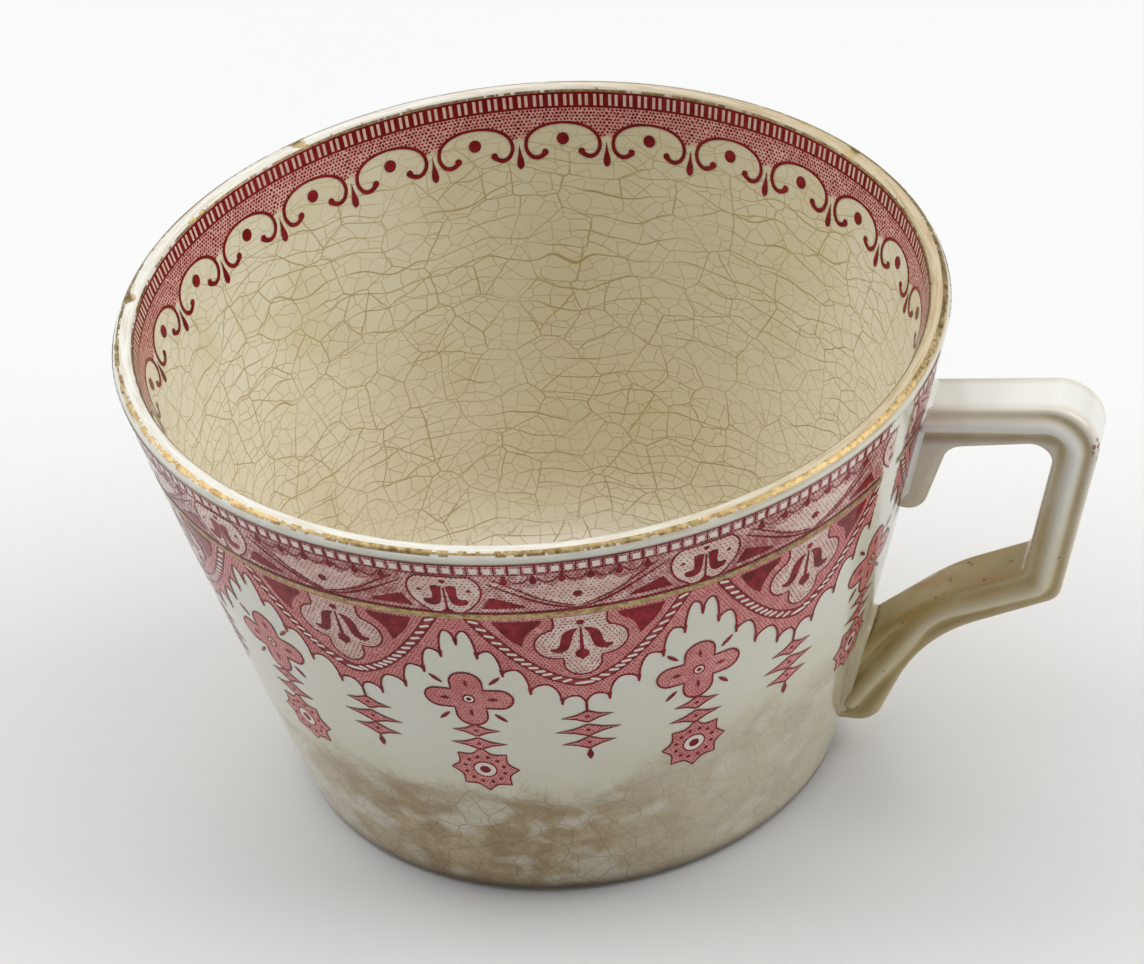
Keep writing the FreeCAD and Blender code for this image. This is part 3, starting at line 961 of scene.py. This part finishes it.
def lip_gold_left(point, share):
    """Gold survives mostly in two worn lines near the edges of the lip."""
    patch = noise.noise(Vector((point.x * 0.09, point.y * 0.09, 3.0)))
    grain = noise.noise(point * 0.9) + 0.5 * noise.noise(point * 2.7)
    towards_handle = point.x / LIP_RADIUS
    outer = math.exp(-((share - 0.29) / 0.1) ** 2)
    inner = math.exp(-((share - 0.86) / 0.1) ** 2)
    return outer * 1.2 + inner * 0.75 + 0.35 * patch + 0.32 * grain + 0.04 * towards_handle > 0.62


def waist_section():
    levels = frange(GILT_LEVEL - 0.42, GILT_LEVEL + 0.42, 0.14)
    return [(wall_radius(z) + GOLD_LIFT, z) for z in levels]


def waist_gold_left(point, share):
    azimuth = math.degrees(math.atan2(point.y, point.x))
    if abs(azimuth) < 6.5 or -20.3 < azimuth < -15.8:
        return False
    grain = noise.noise(point * 1.6) + 0.6 * noise.noise(point * 0.5)
    middle = 1 - abs(2 * share - 1)
    return middle * 1.2 + 0.55 * grain > -0.12


# ------------------------------------------------------------------ materials

def srgb(red, green, blue):
    """Screen colour, 0 to 255, as the linear values that a shader takes."""
    def linear(c):
        c = c / 255
        return c / 12.92 if c <= 0.04045 else ((c + 0.055) / 1.055) ** 2.4
    return (linear(red), linear(green), linear(blue), 1.0)


class Shader:
    """A material's node tree, with short calls for the nodes that the glazes need."""

    def __init__(self, name, roughness, coat=0.0):
        self.material = bpy.data.materials.new(name)
        self.material.use_nodes = True
        self.tree = self.material.node_tree
        self.surface = self.tree.nodes["Principled BSDF"]
        self.surface.inputs["Roughness"].default_value = roughness
        self.surface.inputs["IOR"].default_value = 1.5
        self.surface.inputs["Coat Weight"].default_value = coat
        self.surface.inputs["Coat Roughness"].default_value = 0.05
        where = self.tree.nodes.new("ShaderNodeTexCoord")
        self.place = self.vector("SCALE", where.outputs["Object"], scale=1 / MM)

    def link(self, value, socket):
        if hasattr(value, "is_output"):
            self.tree.links.new(value, socket)
        else:
            socket.default_value = value

    def math(self, kind, a, b=0.0, c=0.0, clamp=False):
        node = self.tree.nodes.new("ShaderNodeMath")
        node.operation = kind
        node.use_clamp = clamp
        for value, socket in zip((a, b, c), node.inputs):
            self.link(value, socket)
        return node.outputs[0]

    def times(self, a, b):
        return self.math("MULTIPLY", a, b)

    def vector(self, kind, a, b=(0, 0, 0), scale=1.0):
        node = self.tree.nodes.new("ShaderNodeVectorMath")
        node.operation = kind
        self.link(a, node.inputs[0])
        self.link(b, node.inputs[1])
        if kind == "SCALE":
            node.inputs["Scale"].default_value = scale
        return node.outputs["Value" if kind == "LENGTH" else "Vector"]

    def split(self, value):
        node = self.tree.nodes.new("ShaderNodeSeparateXYZ")
        self.link(value, node.inputs[0])
        return node.outputs

    def noise(self, size, detail=2.0, place=None, rough=0.5, colour=False):
        """Clouds whose patches are about size millimetres wide."""
        node = self.tree.nodes.new("ShaderNodeTexNoise")
        self.link(self.place if place is None else place, node.inputs["Vector"])
        node.inputs["Scale"].default_value = 1 / size
        node.inputs["Detail"].default_value = detail
        node.inputs["Roughness"].default_value = rough
        return node.outputs["Color" if colour else "Fac"]

    def ramp(self, value, low, high, to_low=0.0, to_high=1.0):
        """Straight ramp between two values, flat outside them."""
        node = self.tree.nodes.new("ShaderNodeMapRange")
        node.interpolation_type = "SMOOTHSTEP"
        for number, socket in zip((value, low, high, to_low, to_high), node.inputs):
            self.link(number, socket)
        return node.outputs[0]

    def mix(self, factor, a, b):
        node = self.tree.nodes.new("ShaderNodeMix")
        node.data_type = "RGBA"
        self.link(factor, node.inputs["Factor"])
        self.link(a, node.inputs["A"])
        self.link(b, node.inputs["B"])
        return node.outputs["Result"]

    def unrolled(self, across, along):
        """Position on the unrolled wall. The azimuth runs from the half-line against across."""
        turned = self.math("ARCTAN2", along, across)
        flat = self.tree.nodes.new("ShaderNodeCombineXYZ")
        self.link(self.times(turned, WALL_RADIUS), flat.inputs[0])
        self.link(self.split(self.place)[2], flat.inputs[1])
        return flat.outputs[0]

    def cells(self, feature, size, spot):
        """Irregular cells about size millimetres wide on a flat position."""
        node = self.tree.nodes.new("ShaderNodeTexVoronoi")
        node.voronoi_dimensions = "2D"
        node.feature = feature
        node.inputs["Scale"].default_value = 1 / size
        self.link(spot, node.inputs["Vector"])
        return node.outputs["Color" if feature == "F1" else "Distance"]

    def cracks(self, cell, width, flat, offset=(0, 0, 0)):
        """Crazing on a flat position: 1 on a line, 0 inside a cell. Fine cracks stop at the long ones."""
        sway = self.vector("SUBTRACT", self.noise(cell * 2.2, 2.0, colour=True), (0.5, 0.5, 0.5))
        bent = self.vector("ADD", flat, self.vector("SCALE", sway, scale=0.8 * cell))
        bent = self.vector("MULTIPLY", self.vector("ADD", bent, offset), (0.8, 1.1, 1.0))
        large = 2.3 * cell
        long_gap = self.cells("DISTANCE_TO_EDGE", large, bent)
        shift = self.vector("SCALE", self.cells("F1", large, bent), scale=40.0)
        short_gap = self.cells("DISTANCE_TO_EDGE", cell, self.vector("ADD", bent, shift))
        long_line = self.ramp(long_gap, width / large * 0.3, width / large * 0.9, 1.0, 0.0)
        short_line = self.ramp(short_gap, width / cell * 0.2, width / cell * 0.7, 0.75, 0.0)
        return self.math("MAXIMUM", long_line, short_line)

    def rings(self, along, pitch, width):
        """Long crazing lines that run round the pot: 1 on a line, 0 between lines."""
        sway = self.times(self.noise(24.0, 2.0), 5.0)
        ripple = self.times(self.noise(6.0, 1.0), 0.8)
        bent = self.math("ADD", self.math("DIVIDE", along, pitch), self.math("ADD", sway, ripple))
        from_line = self.math("ABSOLUTE", self.math("SUBTRACT", self.math("FRACT", bent), 0.5))
        line = self.ramp(from_line, width / pitch * 0.2, width / pitch * 0.9, 1.0, 0.0)
        return self.times(line, self.ramp(self.noise(9.0, 1.0), 0.35, 0.6, 0.25, 1.0))

    def finish(self, colour, height=None, depth=0.02):
        self.link(colour, self.surface.inputs["Base Color"])
        if height is not None:
            bump = self.tree.nodes.new("ShaderNodeBump")
            bump.inputs["Distance"].default_value = depth * MM
            bump.inputs["Strength"].default_value = 0.44
            self.link(height, bump.inputs["Height"])
            self.link(bump.outputs[0], self.surface.inputs["Normal"])
        return self.material


def glaze_uneven(shader):
    """Gloss that varies a little, as a hand-dipped glaze does."""
    patches = shader.noise(6.0, 3.0)
    shader.link(shader.ramp(patches, 0.3, 0.7, 0.09, 0.17), shader.surface.inputs["Roughness"])


def wall_colour(shader):
    """Colour of the outside wall: greyish white above, tea-stained crazing near the foot, a dark band at the
    foot that is tea stain and painted contact shade, and painted light where the stain thins towards the
    sides.
    """
    x, y, level = shader.split(shader.place)
    base = shader.mix(shader.noise(14.0, 3.0), srgb(212, 211, 199), srgb(205, 201, 183))
    flat = shader.unrolled(shader.times(x, -1.0), shader.times(y, -1.0))
    edge = shader.math("ADD", level, shader.times(shader.noise(10.0, 4.0, rough=0.6), -17.0))
    edge = shader.math("ADD", edge, shader.ramp(x, 4.0, 30.0, 0.0, -4.0))
    film = shader.ramp(edge, 20.0, 9.0, 0.0, 0.7)
    base = shader.mix(film, base, srgb(200, 193, 168))
    stain = shader.ramp(edge, 12.5, 6.5)
    brown = shader.mix(shader.ramp(shader.noise(4.0, 4.0, rough=0.65), 0.35, 0.65),
                       srgb(150, 127, 88), srgb(178, 161, 126))
    fringe = shader.times(shader.ramp(edge, 12.5, 9.5), shader.ramp(edge, 4.0, 8.0))
    brown = shader.mix(shader.times(fringe, 0.5), brown, srgb(136, 110, 72))
    oval = shader.vector("MULTIPLY", shader.place, (0.8, 0.8, 1.25))
    pale = shader.ramp(shader.noise(4.4, 1.0, place=oval), 0.5, 0.7, 0.0, 0.72)
    brown = shader.mix(shader.times(pale, shader.ramp(edge, 10.0, 6.0)), brown, srgb(200, 195, 178))
    # Painted light and stain: the stain thins towards the left and right of the view, so both sides of the
    # lower wall come out lighter.
    side = shader.times(shader.ramp(x, 6.0, 24.0, 1.0, 0.4), shader.ramp(x, -34.0, -12.0, 0.4, 1.0))
    base = shader.mix(shader.times(stain, side), base, brown)
    marks = shader.cracks(1.5, 0.12, flat)
    strength = shader.times(shader.ramp(edge, 14.0, 7.0, 0.03, 0.45), side)
    # Painted shade and stain: the band just above the foot is darkened to dark brown, standing in for the
    # contact shade at the floor.
    foot = shader.ramp(level, 3.0, 0.4, 0.0, 0.85)
    base = shader.mix(foot, base, srgb(110, 90, 58))
    return shader.mix(shader.times(marks, strength), base, srgb(112, 88, 56)), marks


def inside_colour(shader):
    """Colour of the inside: cream, browner at the back as painted shade, palest on the floor, crazed all
    over.
    """
    x, y, level = shader.split(shader.place)
    reach = shader.vector("LENGTH", shader.vector("MULTIPLY", shader.place, (1, 1, 0)))
    clouds = shader.noise(15.0, 3.0)
    low = shader.ramp(level, 52.0, 8.0)
    upper = shader.mix(clouds, srgb(220, 215, 197), srgb(212, 204, 178))
    lower = shader.mix(clouds, srgb(230, 222, 202), srgb(221, 210, 183))
    base = shader.mix(low, upper, lower)
    olive = shader.ramp(shader.noise(13.0, 2.0), 0.5, 0.72, 0.0, 0.6)
    base = shader.mix(olive, base, srgb(206, 195, 158))
    # Painted shade: the back of the inside, which faces away from the lamps, is darkened towards brown.
    far = shader.math("MULTIPLY_ADD", shader.math("ABSOLUTE", x), -0.5, y)
    base = shader.mix(shader.ramp(far, 0.0, 40.0, 0.0, 0.55), base, srgb(202, 192, 158))
    base = shader.mix(shader.ramp(level, 16.0, FLOOR_LEVEL, 0.0, 0.8), base, srgb(248, 241, 223))
    long_lines = shader.rings(shader.math("ADD", level, reach), 2.9, 0.15)
    wall = shader.cracks(2.0, 0.12, shader.unrolled(y, shader.times(x, -1.0)))
    on_wall = shader.ramp(level, 7.0, 9.0)
    fine = shader.mix(on_wall, shader.cracks(2.0, 0.12, shader.place), wall)
    patchy = shader.ramp(shader.noise(7.0, 1.0), 0.3, 0.6, 0.5, 0.9)
    marks = shader.math("MAXIMUM", long_lines, shader.times(fine, patchy))
    strength = shader.ramp(level, 58.0, 50.0, 0.2, 0.8)
    return shader.mix(shader.times(marks, strength), base, srgb(154, 132, 66)), marks


def lip_colour(shader, x, y, radius):
    """Colour of the lip: white worn to tan in streaks that run round it."""
    around = shader.tree.nodes.new("ShaderNodeCombineXYZ")
    shader.link(shader.times(shader.math("ARCTAN2", y, x), 9.0), around.inputs[0])
    shader.link(shader.times(radius, 2.6), around.inputs[1])
    streaks = shader.noise(1.0, 4.0, place=around.outputs[0], rough=0.6)
    worn = shader.ramp(streaks, 0.42, 0.68, 0.0, 0.8)
    white = shader.mix(shader.noise(5.0), srgb(230, 229, 222), srgb(216, 211, 198))
    side = shader.ramp(shader.math("ADD", x, shader.times(y, 0.35)), -12.0, 42.0)
    tan = shader.mix(shader.times(side, 0.9), white, srgb(188, 170, 134))
    worn = shader.times(worn, shader.math("MULTIPLY_ADD", side, 0.6, 0.4))
    colour = shader.mix(worn, tan, srgb(164, 140, 98))
    for azimuth, out, level, size in CHIPS:
        middle = place(math.radians(azimuth), out, level) / MM
        gap = shader.vector("LENGTH", shader.vector("SUBTRACT", shader.place, tuple(middle)))
        colour = shader.mix(shader.ramp(gap, size, 0.8 * size), colour, srgb(190, 166, 120))
    return colour


def bowl_glaze():
    """One glaze for the bowl: the inside, the wall, the lip and the bare foot ring."""
    shader = Shader("crazed_glaze", 0.12)
    glaze_uneven(shader)
    x, y, level = shader.split(shader.place)
    radius = shader.vector("LENGTH", shader.vector("MULTIPLY", shader.place, (1, 1, 0)))
    middle = shader.math("MULTIPLY_ADD", level, 0.265, 30.2)
    is_outside = shader.ramp(shader.math("SUBTRACT", radius, middle), -0.2, 0.2)
    under = shader.ramp(level, 2.2, 3.4)
    is_outside = shader.math("MAXIMUM", is_outside, shader.math("SUBTRACT", 1.0, under))
    outer, outer_marks = wall_colour(shader)
    inner, inner_marks = inside_colour(shader)
    colour = shader.mix(is_outside, inner, outer)
    lip = shader.ramp(level, 58.9, 59.5)
    colour = shader.mix(lip, colour, lip_colour(shader, x, y, radius))
    bare = shader.times(shader.ramp(level, 0.45, 0.05), shader.ramp(radius, 26.0, 26.6))
    colour = shader.mix(bare, colour, srgb(186, 170, 140))
    marks = shader.mix(is_outside, inner_marks, outer_marks)
    sparkle = shader.times(shader.noise(0.5, 3.0), -8.0)
    return shader.finish(colour, shader.mix(lip, marks, sparkle), -0.008)


def handle_glaze():
    """Glaze of the handle: clean on top, brown in the hollows and on the arm, the brown being tea stain and
    painted shade on the side faces.
    """
    shader = Shader("handle_glaze", 0.12)
    glaze_uneven(shader)
    level = shader.split(shader.place)[2]
    held = shader.tree.nodes.new("ShaderNodeAttribute")
    held.attribute_name = "stain"
    low = shader.ramp(level, 50.0, 14.0)
    clouds = shader.noise(5.0, 3.0)
    base = shader.mix(low, srgb(220, 219, 212), srgb(204, 194, 160))
    base = shader.mix(shader.times(shader.times(clouds, low), 0.6), base, srgb(196, 182, 146))
    # Painted shade and tea stain: the mask browns the side faces and the hollows beside the bead, while the
    # top stays clean.
    stain_and_shade = shader.times(held.outputs["Fac"], shader.ramp(clouds, 0.2, 0.7, 0.7, 1.0))
    colour = shader.mix(stain_and_shade, base, srgb(170, 144, 82))
    specks = shader.ramp(shader.noise(1.1, 1.0), 0.73, 0.77)
    colour = shader.mix(shader.times(specks, low), colour, srgb(96, 74, 44))
    worn = shader.vector("SUBTRACT", shader.place, (64.9, -3.3, 46.6))
    gap = shader.vector("LENGTH", shader.vector("MULTIPLY", worn, (1.0, 1.0, 0.4)))
    red = shader.times(shader.ramp(gap, 1.2, 0.5), shader.ramp(shader.noise(0.8, 3.0), 0.46, 0.56))
    return shader.finish(shader.mix(red, colour, srgb(112, 40, 40)))


def reserve_glaze():
    """Plain glaze where the print was left open."""
    shader = Shader("plain_glaze", 0.12)
    glaze_uneven(shader)
    clouds = shader.noise(7.0, 3.0)
    return shader.finish(shader.mix(clouds, srgb(226, 214, 204), srgb(216, 196, 186)))


def ink(name, dark, light, grain):
    """Printed colour under the glaze, uneven where the paper pressed harder."""
    shader = Shader(name, 0.12)
    shader.surface.inputs["Specular IOR Level"].default_value = 0.12
    glaze_uneven(shader)
    press_marks = shader.noise(grain, 4.0, rough=0.65)
    broad = shader.noise(18.0, 2.0)
    small_marks = shader.ramp(press_marks, 0.3, 0.75)
    large_marks = shader.ramp(broad, 0.35, 0.7, -0.25, 0.25)
    amount = shader.math("ADD", small_marks, large_marks, clamp=True)
    return shader.finish(shader.mix(amount, srgb(*dark), srgb(*light)))


def gold(name):
    """Thin worn gold."""
    shader = Shader(name, 0.32)
    shader.surface.inputs["Metallic"].default_value = 0.85
    grain = shader.noise(0.7, 4.0, rough=0.7)
    colour = shader.mix(shader.ramp(grain, 0.3, 0.7), srgb(122, 98, 54), srgb(196, 172, 124))
    shader.link(shader.ramp(grain, 0.3, 0.7, 0.28, 0.5), shader.surface.inputs["Roughness"])
    return shader.finish(colour, grain, 0.03)


def floor_paper():
    shader = Shader("pale_floor", 0.6)
    soft = shader.noise(60.0, 3.0)
    return shader.finish(shader.mix(soft, srgb(222, 223, 223), srgb(220, 221, 221)))


# ------------------------------------------------------------------ building

def seam(azimuth, level):
    """Where the outer print is missing: at the handle, and at the seam beside it."""
    azimuth = (azimuth + 180) % 360 - 180
    if abs(azimuth) < 5.2:
        return True
    return level > 43.5 and -20.4 < azimuth < -15.6


def build_bowl():
    piece = new_piece("bowl_glazed", make_bowl_mesh(), bowl_glaze())
    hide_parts("bowl")


def build_handle():
    material = handle_glaze()
    piece = new_piece("handle_glazed", make_handle_mesh(), material)
    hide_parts("handle")
    joints = (
        ("upper_fillet", "upper_slip_joint", 37.3, 51.0),
        ("lower_fillet", "lower_slip_joint", 6.0, 18.6),
    )
    for name, node, low, high in joints:
        mesh = make_fillet_mesh(name, low, high, HANDLE_HALF, 0.7)
        fillet = new_piece(name, mesh, material)
        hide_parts(node)


def build_outer_print():
    dark = ink("dark_ink", (100, 8, 16), (150, 34, 44), 1.2)
    tint = ink("pale_ink", (198, 120, 118), (212, 150, 144), 1.6)
    mottled = ink("frieze_ink", (170, 104, 102), (226, 198, 190), 0.9)
    pale = ink("veil_ink", (206, 172, 162), (224, 206, 194), 1.2)
    spots = ink("stipple_ink", (132, 42, 46), (156, 70, 70), 1.5)
    layers = (
        ("ground", outer_ground() + pendant_ground(), GROUND_LIFT, tint),
        ("frieze", frieze_ground(), GROUND_LIFT, mottled),
        ("stipple", outer_stipple(), DOT_LIFT, spots),
        ("veil", [f for field in veil() for f in filled(field)], VEIL_LIFT, pale),
        ("veil_dots", [f for field in veil() for f in stipple(field, 0.5, 0.12, 0.9)], RESERVE_LIFT, spots),
        ("reserve", outer_reserve(), RESERVE_LIFT, reserve_glaze()),
        ("lines", frieze_ink() + lunette_ink() + pendant_ink(), INK_LIFT, dark),
    )
    for name, faces, lift, material in layers:
        piece = press("outer_print_" + name, faces, lift, material, wall_radius, REPEATS, seam)
        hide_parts("outer_transfer_print")


def build_inner_print():
    dark = ink("inner_dark_ink", (108, 12, 18), (136, 32, 38), 1.2)
    tint = ink("inner_pale_ink", (204, 148, 140), (218, 176, 166), 1.6)
    light = ink("inner_plain", (212, 184, 168), (196, 156, 144), 1.0)
    layers = (
        ("inner_print_ground", filled(inner_outline()), GROUND_LIFT, tint),
        ("inner_print_stipple", stipple(inner_outline(), 0.45, 0.19, 0.97), DOT_LIFT, dark),
        ("inner_print_band", inner_band(), DOT_LIFT, dark),
        ("inner_print_bars", inner_reserve(), RESERVE_LIFT, light),
        ("inner_print_lines", inner_ink(), INK_LIFT, dark),
    )
    for name, faces, lift, material in layers:
        piece = press(name, moved(faces, INNER_START), -lift, material, inside_radius,
                      INNER_REPEATS, None, -1, INNER_RADIUS)
        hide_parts("inner_transfer_print")


def build_gilding():
    material = gold("worn_gold")
    lip = new_piece("lip_gold", make_gold_mesh("lip_gold", lip_section(), lip_gold_left), material)
    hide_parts("rim_gilding")
    waist_mesh = make_gold_mesh("waist_gold", waist_section(), waist_gold_left)
    waist = new_piece("waist_gold", waist_mesh, material)
    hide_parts("waist_gilding")


# ------------------------------------------------------------------ camera, floor and light

def build_camera():
    """Camera above the left of the handle, looking down at the cup with a slight roll."""
    lens = bpy.data.cameras.new("camera")
    lens.sensor_width = 36.0
    lens.lens = 203.9
    lens.clip_start = 0.01
    camera = bpy.data.objects.new("camera", lens)
    bpy.context.scene.collection.objects.link(camera)
    bearing, distance, rise = math.radians(-74.5), 605.0, 472.1
    spot = Vector((distance * math.cos(bearing), distance * math.sin(bearing), rise)) * MM
    aim = Vector((2.7, 0.7, 34.8)) * MM
    look = (aim - spot).normalized()
    right = look.cross(Vector((0, 0, 1))).normalized()
    up = right.cross(look)
    roll = math.radians(-5.68)
    across = right * math.cos(roll) + up * math.sin(roll)
    upright = up * math.cos(roll) - right * math.sin(roll)
    turn = Matrix((across, upright, -look)).transposed().to_4x4()
    camera.matrix_world = Matrix.Translation(spot) @ turn
    bpy.context.scene.camera = camera


def build_floor():
    half = 3.0
    floor = bpy.data.objects.new("floor", bpy.data.meshes.new("floor"))
    corners = [(-half, -half, 0), (half, -half, 0), (half, half, 0), (-half, half, 0)]
    floor.data.from_pydata(corners, [], [(0, 1, 2, 3)])
    floor.data.materials.append(floor_paper())
    bpy.context.scene.collection.objects.link(floor)


def area_light(name, spot, size, power, colour):
    light = bpy.data.lights.new(name, "AREA")
    light.shape = "RECTANGLE"
    light.size, light.size_y = size
    light.energy = power
    light.color = colour
    lamp = bpy.data.objects.new(name, light)
    lamp.location = spot
    lamp.rotation_euler = (Vector((0, 0, 0.03)) - Vector(spot)).to_track_quat("-Z", "Y").to_euler()
    bpy.context.scene.collection.objects.link(lamp)


def build_light():
    world = bpy.data.worlds.new("studio")
    world.use_nodes = True
    world.node_tree.nodes["Background"].inputs["Color"].default_value = (0.97, 0.985, 1.0, 1.0)
    world.node_tree.nodes["Background"].inputs["Strength"].default_value = 0.32
    bpy.context.scene.world = world
    area_light("overhead", (0.0, 0.2, 1.5), (2.8, 1.6), 17.3, (1.0, 0.995, 0.985))
    area_light("left", (-0.85, 0.12, 0.65), (0.8, 0.8), 5.4, (1.0, 1.0, 1.0))
    area_light("right", (0.85, 0.22, 0.65), (0.8, 0.8), 6.2, (1.0, 0.99, 0.98))
    area_light("glint", (-0.25, 0.95, 0.95), (0.9, 0.5), 1.1, (1.0, 1.0, 1.0))


build_bowl()
build_handle()
build_outer_print()
build_inner_print()
build_gilding()
build_camera()
build_floor()
build_light()
bpy.context.scene.view_settings.view_transform = "Standard"
